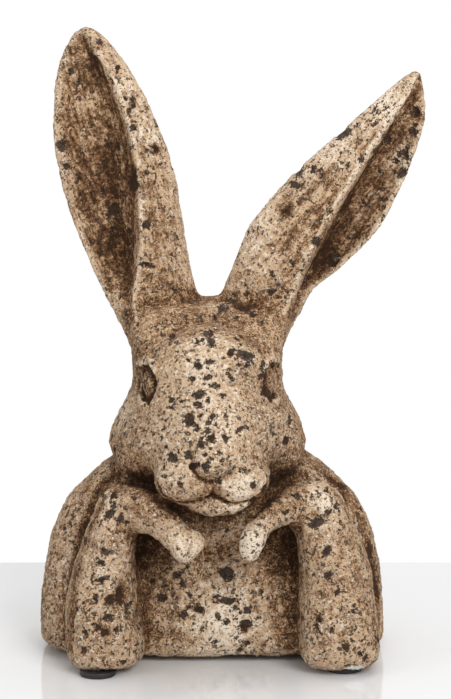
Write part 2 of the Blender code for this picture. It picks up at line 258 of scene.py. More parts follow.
class Nodes:
    """The nodes of one material or world around its shader."""

    def __init__(self, owner: bpy.types.Material | bpy.types.World, shader: str) -> None:
        """Starts the nodes round the owner's shader of this name."""
        owner.use_nodes = True
        self.owner = owner
        self.tree = owner.node_tree
        self.shader = self.tree.nodes[shader]

    def feed(self, socket: bpy.types.NodeSocket, value: object) -> None:
        """Sets an input socket to a value, or links a wire to it."""
        if isinstance(value, Wire):
            self.tree.links.new(value.socket, socket)
        else:
            socket.default_value = value

    def add(
        self,
        kind: str,
        settings: dict[str, object],
        sockets: dict[int | str, object],
        output: int | str = 0,
    ) -> Wire:
        """Adds a node.

        Args:
            kind: The node's type.
            settings: Its settings by name, which are set first.
            sockets: Values or wires of its inputs, by name or place.
            output: The output that is wanted, by name or place.

        Returns:
            The wanted output.
        """
        node = self.tree.nodes.new(kind)
        for name, value in settings.items():
            setattr(node, name, value)
        for key, value in sockets.items():
            self.feed(node.inputs[key], value)
        return Wire(self, node.outputs[output])

    def blend(self, share: Number, first: object, second: object) -> Wire:
        """Mixes two colours, from the first at share 0 to the second at share 1."""
        settings = {"data_type": "RGBA", "clamp_factor": True}
        return self.add("ShaderNodeMix", settings, {0: share, 6: first, 7: second}, output=2)

    def finish(self, sockets: dict[str, object]) -> bpy.types.Material | bpy.types.World:
        """Sets the shader's sockets by name and gives the finished material or world."""
        for name, value in sockets.items():
            self.feed(self.shader.inputs[name], value)
        return self.owner


class Surface(Nodes):
    """A material's nodes, with patterns that lie by the piece's own place in millimetres."""

    def __init__(self, name: str) -> None:
        """Starts a material under this name."""
        super().__init__(bpy.data.materials.new(name), "Principled BSDF")
        place = self.add("ShaderNodeTexCoord", {}, {}, output="Object")
        self.place = self.moved("SCALE", {0: place, "Scale": 1 / MM})

    def moved(self, operation: str, sockets: dict[int | str, object]) -> Wire:
        """Adds a Vector Math node and gives its vector."""
        return self.add("ShaderNodeVectorMath", {"operation": operation}, sockets)

    def noise(
        self, size: float, detail: float = 2.0, roughness: float = 0.5, place: Wire | None = None
    ) -> Wire:
        """Cloudy noise whose coarsest lumps are about size millimetres wide.

        Args:
            size: The width of a lump in millimetres.
            detail: How many finer layers it has.
            roughness: How strong the finer layers are.
            place: Where it is read, or the piece's own place.

        Returns:
            A number around 0.5.
        """
        sockets = {"Scale": 1 / size, "Detail": detail, "Roughness": roughness}
        sockets["Vector"] = place or self.place
        return self.add("ShaderNodeTexNoise", {}, sockets, output="Fac")

    def warped(self, size: float, reach: float) -> Wire:
        """The piece's place in millimetres, pushed about by noise.

        Args:
            size: The width of the noise's lumps in millimetres.
            reach: How far a place is pushed, in millimetres.

        Returns:
            A place.
        """
        sockets = {"Vector": self.place, "Scale": 1 / size}
        push = self.add("ShaderNodeTexNoise", {}, sockets, output="Color")
        centred = self.moved("SUBTRACT", {0: push, 1: (0.5,) * 3})
        scaled = self.moved("SCALE", {0: centred, "Scale": reach})
        return self.moved("ADD", {0: self.place, 1: scaled})

    def kept(self, attribute: Attribute) -> Wire:
        """What the piece keeps at each point under this name."""
        settings = {"attribute_name": attribute.value}
        return self.add("ShaderNodeAttribute", settings, {}, output="Fac")

    def chips(self, size: float, place: Wire) -> Wire:
        """A patchwork of angular chips, each with its own number.

        Args:
            size: The width of a chip in millimetres.
            place: Where the pattern is read.

        Returns:
            A number from 0 to 1 that is the same all over a chip.
        """
        sockets = {"Vector": place, "Scale": 1 / size}
        lot = self.add("ShaderNodeTexVoronoi", {}, sockets, output="Color")
        return self.add("ShaderNodeSeparateColor", {}, {0: lot})


@dataclass(frozen=True)
class AgedStone:
    """Cast stone: tan, brown in its hollows from patina and painted shade, cream on its heights
    from rubbing and painted highlight, and pitted.
    """

    sand: Colour = (0.560, 0.392, 0.246, 1)
    tan: Colour = (0.345, 0.208, 0.113, 1)
    umber: Colour = (0.150, 0.075, 0.034, 1)
    deep_umber: Colour = (0.040, 0.018, 0.008, 1)
    cream: Colour = (0.800, 0.680, 0.540, 1)
    charcoal: Colour = (0.026, 0.019, 0.014, 1)
    slate: Colour = (0.078, 0.058, 0.044, 1)
    plaster: Colour = (0.86, 0.85, 0.84, 1)
    roughness: float = 0.88
    shine: float = 0.15

    # Widths of its patterns in millimetres
    stain: float = 42
    cloud: float = 13
    mottling: float = 5.2
    lump: float = 2.6
    crumb: float = 1.35
    grain: float = 0.66
    streak: float = 2.8
    pore: float = 1.5
    pock: float = 2.7
    pock_crowd: float = 15
    pit_corner: float = 1.25

    # Where the ears start and part, in millimetres, and how far each leans out on its way up
    ears_foot: float = 215.0
    ears_part: float = -15.0
    upright_lean: float = -0.31
    outward_lean: float = 0.75
    streak_length: float = 4.0

    def material(self) -> bpy.types.Material:
        """Builds the stone's material."""
        nodes = Surface("aged_stone")
        recess, wear = nodes.kept(Attribute.PATINA_AND_SHADE), nodes.kept(Attribute.WEAR_AND_HIGHLIGHT)
        clouds, mottle = nodes.noise(self.cloud, 1), nodes.noise(self.mottling, 1)
        lumps, crumbs = nodes.noise(self.lump, 1), nodes.noise(self.crumb, 1)
        grit, stains = nodes.noise(self.grain, 1), nodes.noise(self.stain, 1)

        # Brown patina in the hollows deepened by painted shade, and cream on rubbed heights with
        # some painted highlight
        on_ears, streaks = self.streaks(nodes)
        browning_and_shade = recess.varied(
            (clouds, 0.75), (mottle, 0.8), (lumps, 1.15), (stains, 0.6), (crumbs, 1.35),
            (grit, 2.3 - on_ears * 0.9), (streaks, on_ears * 2.0),
        )
        worn_and_highlighted = wear.varied((lumps, 1.4), (crumbs, 1.7), (grit, 1.5))

        # Fine pores, flecks in loose crowds, and the pits with ragged rims
        loose = nodes.warped(1.2, 0.6)
        pores = nodes.noise(self.pore, 2.0, 0.6, loose).ease(0.598, 0.622)
        flecks = nodes.noise(self.pock, 2.4, 0.55, loose) - recess * 0.035 - on_ears * 0.014
        pocks = flecks.varied((nodes.noise(self.pock_crowd, 1), 0.24)).ease(0.606, 0.620)
        corners = nodes.chips(self.pit_corner, nodes.warped(1.0, 0.7))
        ragged = nodes.kept(Attribute.PIT).varied((corners, 1.5), (crumbs, 2.2), (grit, 1.3))
        pits = ragged.ease(-0.08, 0.14)
        dark = nodes.blend((lumps + grit).ease(0.86, 1.16), self.charcoal, self.slate)
        # Pits deep in the painted shade and patina of the hollows turn deep umber
        dark = nodes.blend(recess.ease(0.5, 1.1) * 0.6, dark, self.deep_umber)
        chip = nodes.kept(Attribute.CHIP).varied((crumbs, 1.2)).ease(0.45, 0.6)

        # Each layer covers those before it
        ground = self.sand
        for share, colour in (
            # Tan, umber and deep umber: brown patina with painted shade, deepest where most shut in
            (browning_and_shade.ease(-0.02, 0.42), self.tan),
            (browning_and_shade.ease(0.38, 0.80), self.umber),
            (browning_and_shade.ease(0.80, 1.40), self.deep_umber),
            # Cream: rubbed heights, partly painted highlight
            (worn_and_highlighted.ease(0.28, 0.95) * 0.90, self.cream),
            (pores * 0.80, self.deep_umber),
            (pocks * 0.88, dark),
            (pits * 0.96, dark),
            (chip, self.plaster),
        ):
            ground = nodes.blend(share, ground, colour)

        height = lumps * 0.5 + crumbs * 0.56 + grit * 0.34
        height = height - pores * 0.45 - pocks * 0.8 - pits * 0.5
        relief = {"Height": height, "Strength": 1.0, "Distance": MM}
        normal = nodes.add("ShaderNodeBump", {}, relief)
        shine = {"Roughness": self.roughness, "Specular IOR Level": self.shine}
        return nodes.finish({"Base Color": ground, "Normal": normal, **shine})

    def streaks(self, nodes: Surface) -> tuple[Wire, Wire]:
        """Draws streaks that run along each ear.

        Args:
            nodes: The material's nodes.

        Returns:
            How far up on an ear a point is, from 0 to 1, and the streaks, a number around 0.5.
        """
        x, y, z = (
            nodes.add("ShaderNodeSeparateXYZ", {}, {0: nodes.place}, output=axis) for axis in "XYZ"
        )
        outward = x.ease(self.ears_part - 1, self.ears_part + 1)
        lean = outward * (self.outward_lean - self.upright_lean) + self.upright_lean
        across = x - lean * (z - self.ears_foot)
        sockets = {"X": across, "Y": y, "Z": z * (1 / self.streak_length)}
        along = nodes.add("ShaderNodeCombineXYZ", {}, sockets)
        on_ears = z.ease(self.ears_foot - 10, self.ears_foot + 20)
        return on_ears, nodes.noise(self.streak, 2, 0.55, along)


@dataclass(frozen=True)
class Rubber:
    """Dull black rubber with a little dust."""

    black: Colour = (0.010, 0.009, 0.009, 1)
    dusty: Colour = (0.020, 0.018, 0.017, 1)
    dust: float = 2.5
    grain: float = 0.5

    def material(self) -> bpy.types.Material:
        """Builds the pads' material."""
        nodes = Surface("pad_rubber")
        dust = nodes.noise(self.dust, 4, 0.7).ease(0.45, 0.75)
        relief = {"Height": nodes.noise(self.grain, 2), "Strength": 0.5, "Distance": 0.1 * MM}
        normal = nodes.add("ShaderNodeBump", {}, relief)
        colour = nodes.blend(dust, self.black, self.dusty)
        return nodes.finish({"Base Color": colour, "Roughness": 0.5 + dust * 0.3, "Normal": normal})


@dataclass(frozen=True)
class GlossyFloor:
    """A pale glossy table top."""

    colour: Colour = (0.78, 0.78, 0.785, 1)
    roughness: float = 0.09

    def material(self) -> bpy.types.Material:
        """Builds the floor's material."""
        nodes = Surface("glossy_floor")
        return nodes.finish({"Base Color": self.colour, "Roughness": self.roughness})


# The hare


@dataclass(frozen=True)
class Groove:
    """A line pressed into the skin, or a rib raised from it where its depth is below 0."""

    path: list[Point]
    width: float
    depth: float
    # Painted shade along the line, partly brown patina, and below 0 a painted highlight
    shade_and_patina: float = 0.0

    def share(self, u: np.ndarray, v: np.ndarray) -> np.ndarray:
        """How fully the groove takes hold at each point, from 0 to 1."""
        return hump(from_path(u, v, self.path), self.width)


@dataclass(frozen=True)
class Hollow:
    """An oval dish pressed into the skin, or a dome raised from it where its depth is below 0."""

    centre: Point
    across: float
    up: float
    turn: float
    depth: float
    # Painted shade in the dish, partly brown patina, and below 0 a painted highlight
    shade_and_patina: float = 0.0
    power: float = 2.0

    def share(self, u: np.ndarray, v: np.ndarray) -> np.ndarray:
        """How fully the hollow takes hold at each point, from 0 to 1."""
        u, v = u - self.centre[0], v - self.centre[1]
        turn = math.radians(self.turn)
        along = (u * math.cos(turn) + v * math.sin(turn)) / self.across
        aside = (v * math.cos(turn) - u * math.sin(turn)) / self.up
        return np.clip(1 - along * along - aside * aside, 0, 1) ** self.power


@dataclass(frozen=True)
class Carving:
    """A flat frame in which shapes are drawn, in millimetres, u to the right and v upward.

    Skin that faces the frame less than full is cut less, and less than least not at all.
    """

    centre: Vector
    facing: Vector
    upward: Vector
    reach: float
    shapes: list[Groove | Hollow]
    least: float = 0.05
    full: float = 0.45

    def cut(self, points: np.ndarray, normals: np.ndarray) -> tuple[np.ndarray, np.ndarray]:
        """Works out how deep the shapes cut into a skin, and the painted shading in them, partly
        brown patina.

        Args:
            points: The skin's points in millimetres.
            normals: Its normals.

        Returns:
            The depth in millimetres and the darkness, one of each for each point.
        """
        out = self.facing.normalized()
        up = (self.upward - out * out.dot(self.upward)).normalized()
        right = up.cross(out)
        offset = points - np.array(self.centre)
        u, v, n = (offset @ np.array(axis) for axis in (right, up, out))
        near = (np.hypot(u, v) < self.reach) & (np.abs(n) < 0.7 * self.reach)
        ahead = normals @ np.array(out)
        near &= ahead > self.least
        square = smoothstep(ahead[near], self.least, self.full)
        depth, shade_and_patina = np.zeros(len(points)), np.zeros(len(points))
        for shape in self.shapes:
            share = shape.share(u[near], v[near]) * square
            depth[near] += shape.depth * share
            shade_and_patina[near] += shape.shade_and_patina * share
        return depth, shade_and_patina


# Large pits by region, seen from the front: x, z, length and width in millimetres, turn in degrees
PITS = {
    "forehead": [
        (-14, 196, 6.8, 2.8, 0), (-20, 192, 3.4, 2.3, 20), (-11, 193, 5.1, 4.5, 0),
        (-34, 193, 4.6, 2.3, 30), (0, 187, 4.5, 4.5, 0), (9, 184, 10.2, 5.1, -30),
        (-18, 180, 4.5, 3.9, -30), (-12, 182, 5.1, 2.8, 0), (-13, 174, 6.2, 2.3, 20),
        (-8, 169, 3.4, 2.3, 10), (18, 178, 5.7, 2.8, 80), (17, 172, 3.4, 2.2, 60),
        (22, 161, 4.2, 3.0, -30), (20, 162, 5.1, 4.5, 0),
    ],
    "muzzle": [
        (-19, 164, 7.3, 4.5, 20), (-18, 159, 5.0, 3.9, 0), (-34, 160, 3.9, 2.3, 0),
        (-34, 156, 3.4, 1.7, 0), (-24, 151, 8.4, 4.5, 75), (-10, 154, 5.0, 3.4, 50),
        (-13, 150, 4.5, 3.3, 60), (-3, 154, 3.9, 1.7, 90), (-12, 142, 5.6, 3.3, -30),
        (-3, 142, 4.5, 3.3, -60), (5, 146, 5.0, 2.8, 20), (-33, 131, 5.6, 5.6, 0),
        (-24, 132, 5.0, 5.0, 0), (-15, 128, 5.0, 4.4, 0), (-11, 132, 5.0, 2.8, 20),
        (31, 133, 3.7, 3.4, 0), (7, 124, 5.0, 2.2, -10), (12, 115, 3.6, 3.9, 0),
        (-29, 117, 3.6, 3.6, 0), (-38, 120, 3.3, 2.2, 30), (34, 142, 6.3, 2.0, 80),
        (-15, 134, 2.8, 2.0, 0), (-13, 130, 3.4, 2.2, 30), (-9, 127, 2.6, 1.8, 0),
        (-7, 135, 2.6, 1.8, 60), (-17, 138, 2.8, 2.0, 0), (-14, 125, 3.0, 2.4, 0),
        (-5, 131, 2.2, 1.8, 0), (-12, 137, 2.4, 1.8, 20),
    ],
    "chest": [
        (-3, 53, 9.1, 8.0, 0), (-28, 47, 5.1, 4.0, -60), (-32, 52, 5.7, 4.6, 70),
        (-1, 38, 14.8, 4.0, 3), (-8, 40, 5.1, 3.4, 0), (10, 33, 5.1, 4.5, 0),
        (8, 23, 6.8, 6.2, 20), (-3, 26, 4.5, 4.0, 0), (-8, 29, 4.0, 4.0, 0),
        (-19, 33, 4.5, 4.0, 0), (-25, 34, 3.4, 2.8, 0), (-28, 29, 5.1, 4.5, 0),
        (-40, 39, 5.7, 5.1, 0), (5, 8, 3.4, 2.8, 0), (3, 34, 3.4, 2.8, 0),
    ],
    "right arm": [
        (-71, 37, 6.7, 3.9, -15), (-73, 28, 5.0, 4.5, 30), (-66, 29, 3.9, 3.3, 0),
        (-70, 47, 6.1, 4.5, 70), (-65, 48, 5.6, 4.5, 60), (-60, 40, 5.6, 2.8, 70),
        (-85, 17, 5.6, 3.3, 75), (-73, 73, 4.5, 3.9, 0), (-75, 67, 4.5, 3.4, 0),
        (-76, 57, 4.5, 2.2, -10), (-67, 99, 5.6, 3.4, 60), (-64, 92, 5.6, 3.9, 60),
        (-71, 94, 6.7, 3.9, 40), (-75, 102, 3.4, 2.8, 0),
    ],
    "left arm": [
        (49, 90, 10.7, 5.6, 25), (55, 73, 6.7, 5.0, 70), (55, 60, 5.0, 4.5, 20),
        (71, 40, 3.9, 2.8, -20), (66, 19, 5.6, 4.5, -40), (58, 29, 3.9, 3.3, 0),
        (49, 30, 6.7, 2.8, 90), (61, 50, 3.9, 3.4, 0), (56, 95, 4.5, 3.9, 40),
        (60, 98, 3.9, 2.8, 0), (38, 105, 3.9, 3.4, 0),
    ],
    "upright ear": [
        (-94, 342, 4.1, 4.1, 0), (-100, 300, 7.1, 5.3, -50), (-57, 277, 7.0, 7.0, 30),
        (-68, 261, 7.7, 6.5, 40), (-72, 300, 3.5, 3.5, 0), (-67, 298, 3.5, 2.9, 0),
        (-49, 231, 8.1, 3.5, -15), (-49, 255, 4.7, 4.7, 0), (-58, 327, 3.5, 2.9, 0),
        (-77, 360, 4.1, 2.4, -20), (-66, 345, 3.5, 2.9, 0), (-50, 285, 4.1, 2.9, 0),
        (-57, 311, 4.1, 4.7, 0), (-60, 321, 2.9, 3.5, 0), (-60, 249, 4.1, 2.9, 0),
        (-90, 336, 7.1, 2.4, 80),
    ],
    "outward ear": [
        (66, 307, 11.8, 5.3, 35), (40, 285, 8.2, 4.7, 55), (48, 287, 3.5, 3.5, 0),
        (37, 277, 6.5, 3.5, 10), (92, 302, 6.5, 4.1, 30), (101, 284, 7.1, 4.7, 35),
        (106, 308, 5.3, 4.1, -30), (76, 292, 4.1, 3.5, 0), (58, 263, 3.5, 2.9, 0),
        (78, 265, 4.7, 3.0, -20), (50, 245, 6.4, 5.2, 60), (24, 226, 4.7, 2.3, -60),
        (-6, 206, 5.4, 3.6, 60), (-2, 209, 2.6, 2.2, 0), (2, 209, 5.0, 2.4, -20),
        (6, 206, 2.8, 2.4, 30), (9, 205, 3.2, 2.6, 0), (13, 203, 4.8, 2.8, -10),
        (3, 202, 2.8, 1.8, 0), (18, 199, 2.4, 2.0, 0), (-10, 202, 2.4, 2.0, 40),
    ],
}

# Where smaller pits gather on the front: x and z in millimetres
CROWDS = [
    (-14, 188), (2, 180), (-12, 165), (-20, 150), (-4, 146), (-10, 126), (-28, 128), (12, 122),
    (-8, 44), (4, 30), (-16, 28), (12, 18), (-28, 44), (-72, 92), (-74, 66), (-68, 44), (-72, 28),
    (52, 92), (58, 70), (60, 40), (64, 22), (-58, 320), (-52, 282), (-72, 268), (44, 282),
    (66, 296), (84, 318), (98, 296), (6, 210), (-40, 144),
]

# Where the front is paler, from rubbing and partly painted highlight, and below 0 darker, from
# brown patina and partly painted shade: x, z, radius and strength
PATCHES = [
    (-14, 180, 34, 0.30), (-12, 146, 34, 0.28), (-44, 140, 20, 0.22), (30, 140, 18, 0.28),
    (-17, 184, 16, 0.22), (-3, 146, 14, 0.22), (7, 114, 10, 0.75), (-31, 120, 9, 0.20),
    (-26, 77, 8, 0.55), (11, 79, 9, 0.90), (53, 102, 11, 0.50), (-68, 98, 9, 0.40),
    (-71, 104, 4, 0.90), (-7, 20, 18, 0.52), (-1, 36, 22, 0.40), (56, 34, 15, 0.16),
    (-73, 62, 12, 0.20), (-52, 306, 11, 0.45), (-46, 284, 9, 0.12), (-63, 334, 8, 0.40),
    (89, 325, 12, 0.65), (60, 298, 14, 0.40), (12, 260, 14, 0.40), (19, 234, 13, 0.35),
    (-64, 146, 13, 0.62), (5, 102, 7, 0.50), (-76, 284, 24, -0.30), (-62, 240, 13, -0.30),
    (-84, 352, 9, -0.20), (56, 248, 15, -0.30), (82, 290, 13, 0.15), (-28, 207, 17, -0.25),
    (14, 207, 14, -0.15), (-8, 88, 9, -0.5), (95, 292, 15, 0.30), (80, 264, 13, 0.30),
    (-98, 290, 12, 0.20), (-45, 60, 11, -0.25), (31, 60, 12, -0.65), (-90, 20, 16, -0.05),
    (-98, 50, 18, 0.20), (-60, 118, 9, -0.30), (36, 120, 9, -0.30), (66, 242, 12, 0.30),
    (-40, 120, 12, 0.15),
]

# Lines of the fine carving, as drawn from the front in millimetres
CROWN = [
    (-37, -7.5), (-26.7, 2.4), (-17.4, 5.9), (0, 8.7), (13.3, 7.5), (26.6, 0.5), (33.6, -6.2),
]
UPRIGHT_RIDGE = [
    (-19.6, 85.4), (-6.6, 65.5), (-3.1, 54.6), (1.5, 39.6), (4.5, 27), (5.6, 14.8), (6.5, 2.1),
    (7.1, -10.6), (7.7, -22.8), (7.7, -33.4), (4.9, -44.4), (3.1, -57.3), (4.3, -69.6),
]
OUTWARD_RIDGE = [
    (38.5, 70.1), (33, 59.3), (23.5, 47.4), (19.4, 41.7), (10, 27.4), (4.7, 19.8), (-2.3, 7.8),
    (-9.9, -4.4), (-16.9, -16), (-23.3, -28.2), (-29.1, -39.3), (-34.3, -54.4), (-39, -67.3),
]
BEHIND_LEFT_ARM = [(-22, 46), (-8.3, 32.5), (3, 13.4), (8.1, -5), (10.6, -26.5), (10.4, -46)]
BEHIND_RIGHT_ARM = [(19, 44), (7.4, 32.5), (-1.9, 10.1), (-5.3, -4.7), (-8.1, -32.4), (-9.5, -50)]
NOSE_LEFT = [(0, -7.8), (4.5, -6.6), (8.2, -3.0), (10.5, 1.0)]
NOSE_RIGHT = [(-12.2, 1.6), (-9.8, -3.4), (-5, -6.9), (0, -7.8)]
CLEFT = [(-0.4, -8.4), (-0.8, -11), (-0.8, -16.5)]
LIP_RIGHT = [
    (-0.8, -16.5), (-8.5, -20.4), (-16, -22), (-22, -21.2), (-28, -17.5), (-31.5, -11.5),
]
LIP_LEFT = [(-0.8, -16.5), (7.5, -21), (14, -22.4), (21, -21.2), (27, -17.5), (29.8, -12.5)]


def ellipse(across: float, up: float, point: float = 1.0, count: int = 28) -> list[Point]:
    """Draws a closed ellipse, or an almond where point is above 1.

    Args:
        across: Half its width.
        up: Half its height.
        point: How pointed its corners are.
        count: How many sides it has.

    Returns:
        Its corners, with the first again at the end.
    """
    turns = np.linspace(0, 2 * math.pi, count + 1)
    rise = np.sign(np.sin(turns)) * np.abs(np.sin(turns)) ** point
    return list(zip(across * np.cos(turns), up * rise))


@dataclass(frozen=True)
class Roughening:
    """One size of the skin's unevenness: its lumps' width and its strength, in millimetres."""

    name: str
    noise: Noise
    size: float
    layers: int
    strength: float


@dataclass
class StoneHare:
    """The casting: the solid's form with a weathered skin."""

    voxel: float = 0.85 * MM
    smoothing: int = 10
    triangles: int = 196_000
    roughening: tuple[Roughening, ...] = (
        Roughening("swells", Noise.SOFT, 16.0, 1, 1.5),
        Roughening("lumps", Noise.SOFT, 5.0, 2, 1.2),
        Roughening("creases", Noise.HARD, 4.5, 2, 0.9),
        Roughening("crumbs", Noise.SOFT, 2.0, 1, 0.6),
    )
    eye_lean: float = 118
    eye_calm: float = 0.25
    eye_reach: float = 15.0
    ears_from: float = 216.0
    ears_calm: float = 0.68
    pits_all_round: int = 950
    pits_behind: int = 150
    pit_sizes: tuple[float, float] = (0.7, 2.2)
    pit_crowds: int = 30
    crowd_radius: float = 10.0
    between_crowds: float = 0.16
    pit_raggedness: float = 0.27
    rays: int = 40
    far_reach: float = 70.0
    close_reach: float = 16.0
    chip_place: Point = (71.5, 5.0)
    finish: AgedStone = field(default_factory=AgedStone)
    random: np.random.Generator = field(init=False)
    solid: BVHTree = field(init=False)
    pits: list[Pit] = field(init=False)

    def build(self) -> bpy.types.Object:
        """Builds the casting from the solid."""
        self.random = np.random.default_rng(SEED)
        piece = self.copy_of_solid()
        self.solid = BVHTree.FromPolygons(
            [vertex.co / MM for vertex in piece.data.vertices],
            [tuple(polygon.vertices) for polygon in piece.data.polygons],
        )
        self.refine(piece)
        self.carve(piece)
        self.pits = [*self.placed_pits(), *self.scattered_pits(piece)]
        self.weather(piece)
        self.thin_out(piece)
        self.keep_finish(piece)
        piece.data.shade_smooth()
        piece.data.materials.clear()
        piece.data.materials.append(self.finish.material())
        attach(piece, "root")
        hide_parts("hare")
        return piece

    def copy_of_solid(self) -> bpy.types.Object:
        """Copies the solid's mesh and merges its loose triangles."""
        piece = added("stone_hare", frame["nodes"]["hare"].data.copy())
        only(piece)
        bpy.ops.object.mode_set(mode="EDIT")
        bpy.ops.mesh.select_all(action="SELECT")
        bpy.ops.mesh.remove_doubles(threshold=0.001 * MM)
        bpy.ops.object.mode_set(mode="OBJECT")
        return piece

    def refine(self, piece: bpy.types.Object) -> None:
        """Rounds the solid's facets and gives the skin an even, fine mesh."""
        modify(piece, "SUBSURF", levels=1, render_levels=1)
        modify(piece, "REMESH", mode="VOXEL", voxel_size=self.voxel)
        modify(piece, "SMOOTH", factor=0.5, iterations=self.smoothing)

    def eye(self, side: int, place: tuple[float, float, float]) -> Carving:
        """Draws an eye with its lids, its socket and the brow over it.

        Args:
            side: 1 for the figure's left eye and -1 for its right one.
            place: Its middle in the head.

        Returns:
            The eye's carving.
        """
        nose = -side
        rise, run = math.sin(math.radians(self.eye_lean)), math.cos(math.radians(self.eye_lean))
        almond = [
            (nose * (u * run - v * rise), u * rise + v * run) for u, v in ellipse(9.8, 7.1, 1.15)
        ]
        wall, brow, cheek = (
            curve_through([(nose * u, v) for u, v in path])
            for path in (
                [(1.5, 11.0), (7.4, 6.4), (9.6, -1.5), (7.2, -9.8)],
                [(-9, 9.5), (-4, 12.4), (2, 12.6), (8, 8.5)],
                [(-9.5, -3), (-5, -10), (2, -12)],
            )
        )
        # Painted shade in the socket, the lid lines and the corner below, and painted highlight on
        # the brow and cheek ridges
        shapes = [
            Hollow((0, 0), 16, 14, 0, 2.0, 0.12),
            Hollow((0, 0), 9.6, 7.0, nose * self.eye_lean, -2.8, 0.10, 0.7),
            Groove(almond, 1.8, 1.1, 0.22),
            Groove(wall, 2.6, 0.8, 0.24),
            Groove(brow, 4.6, -1.1, -0.12),
            Groove(cheek, 3.0, -0.8, -0.10),
            Hollow((nose * 2.5, -7.5), 4.5, 3.5, 0, 0.2, 0.32),
        ]
        facing = HEAD.to_3x3() @ Vector((side * 0.80, -0.60, 0.06))
        return Carving(HEAD @ Vector(place), facing, Vector((0, 0, 1)), 19, shapes)

    def eyes(self) -> list[Carving]:
        """Draws both eyes."""
        return [self.eye(-1, (-36.5, -34, 163.3)), self.eye(1, (35.5, -34.5, 164.0))]

    def muzzle(self) -> Carving:
        """Draws the nose, the cleft below it, the lips and the chin."""
        # Painted shade in the nose's groove, the cleft and the lip lines, and painted highlight
        # beside the nose and on the chin
        shapes = [
            Groove(curve_through(NOSE_RIGHT), 1.7, 0.9, 0.60),
            Groove(curve_through(NOSE_LEFT), 2.6, -0.5, 0.0),
            Hollow((0, 0), 11, 7.5, 0, -0.9),
            Groove(CLEFT, 2.4, 0.3, 0.22),
            Hollow((-1.5, -12.5), 6.5, 6, 0, -2.0, 0.45),
            Hollow((-1, -18.0), 9, 4.5, 0, -2.3, 0.06),
            Hollow((6.5, -8.5), 5, 4, 40, -0.8, -0.10),
            Groove(curve_through(LIP_RIGHT), 1.5, 0.8, 0.50),
            Groove(curve_through(LIP_LEFT), 1.5, 0.8, 0.50),
            Hollow((1, -27.5), 24, 9, 0, -2.6, -0.10, 1.2),
            Hollow((-12.5, -13.5), 10.5, 6.5, 15, -0.9),
            Hollow((12, -14), 11, 7, -15, -1.1),
        ]
        facing = HEAD.to_3x3() @ Vector((0, -1, -0.1))
        return Carving(HEAD @ Vector((0, -78, 122)), facing, Vector((0, 0, 1)), 36, shapes)

    def from_front(self, x: float, z: float, reach: float, shapes: list[Groove]) -> Carving:
        """Draws shapes on whatever is seen straight from the front, round x and z."""
        return Carving(Vector((x, -20, z)), Vector((0, -1, 0)), Vector((0, 0, 1)), reach, shapes)

    def carvings(self) -> list[Carving]:
        """Draws the fine carving: eyes, nose, mouth, crown, ridges of the ears and toes."""
        plate = [(u * 0.96, v - 5.0) for u, v in CROWN]
        # On each ear a raised rib with painted highlight and a groove beside it with painted shadow
        ridges = [
            self.from_front(x, 270, 96, [
                Groove(curve_through(path), 1.9, -0.6, -0.20),
                Groove(curve_through([(u + aside, v + down) for u, v in path]), 5.0, 0.6, 0.25),
            ])
            for x, path, aside, down in (
                (-60, UPRIGHT_RIDGE, -4.6, -0.5),
                (70, OUTWARD_RIDGE, 4.2, -3.0),
            )
        ]
        # Painted shade in the cleft between the toes
        toes = [
            self.from_front(x, 76, 9, [Groove([(0, 4), (0.6, -7)], 1.8, 1.0, 0.5)])
            for x in (-23.8, 7.2)
        ]
        # Painted shade, partly brown patina, in the seam behind each arm
        seams = [
            self.from_front(x, 65, 62, [Groove(curve_through(path), 5.0, 1.0, shade_and_patina)])
            for x, path, shade_and_patina in ((75, BEHIND_LEFT_ARM, 0.35), (-85, BEHIND_RIGHT_ARM, 0.30))
        ]
        # A faint painted shade along the crown's groove and a faint painted highlight on the raised
        # plate beneath it
        brow = self.from_front(-14, 190, 44, [
            Groove(curve_through(CROWN), 6.5, 1.0, 0.08),
            Groove(curve_through(plate), 5.0, -0.8, -0.08),
        ])
        return [*self.eyes(), self.muzzle(), brow, *ridges, *seams, *toes]

    def carve(self, piece: bpy.types.Object) -> None:
        """Cuts the fine carving into the skin."""
        points, normals = skin(piece)
        depth = sum(carving.cut(points, normals)[0] for carving in self.carvings())
        place_points(piece.data, (points - normals * depth[:, None]) * MM)

    def on_front(self, x: float, z: float) -> Vector:
        """Finds the point of the solid that is seen from the front at x and z, in millimetres."""
        found = self.solid.ray_cast(Vector((x, -400, z)), Vector((0, 1, 0)))[0]
        return found if found else Vector((x, 0, z))

    def placed_pits(self) -> list[Pit]:
        """Gathers the large pits."""
        return [
            (self.on_front(x, z), Vector((0, -1, 0)), length / 2, width / 2, math.radians(turn))
            for region in PITS.values()
            for x, z, length, width, turn in region
        ]

    def scattered_pits(self, piece: bpy.types.Object) -> list[Pit]:
        """Scatters smaller pits over the skin, in loose crowds."""
        points, normals = skin(piece)
        crowds = [*points[self.random.integers(len(points), size=self.pit_crowds)]]
        crowds += [np.array(self.on_front(x, z)) for x, z in CROWDS]
        nearest = np.full(len(points), np.inf)
        for crowd in crowds:
            nearest = np.minimum(nearest, np.linalg.norm(points - crowd, axis=1))
        weight = self.between_crowds + np.exp(-((nearest / self.crowd_radius) ** 2))
        weight[points[:, 2] < 6] = 0
        share, some = weight / weight.sum(), self.pits_all_round
        chosen = self.random.choice(len(points), some, replace=False, p=share)
        least, most = self.pit_sizes
        weight[normals[:, 1] < -0.25] = 0
        share, some = weight / weight.sum(), self.pits_behind
        behind = self.random.choice(len(points), some, replace=False, p=share)
        sizes = least + (most - least) * self.random.random(self.pits_all_round) ** 3
        large = 1.3 + 2.0 * self.random.random(self.pits_behind) ** 2
        found = []
        for index, long in zip([*chosen, *behind], [*sizes, *large]):
            wide = long * self.random.uniform(0.45, 0.95)
            turn = self.random.uniform(0, math.pi)
            found.append((Vector(points[index]), Vector(normals[index]), long, wide, turn))
        return found

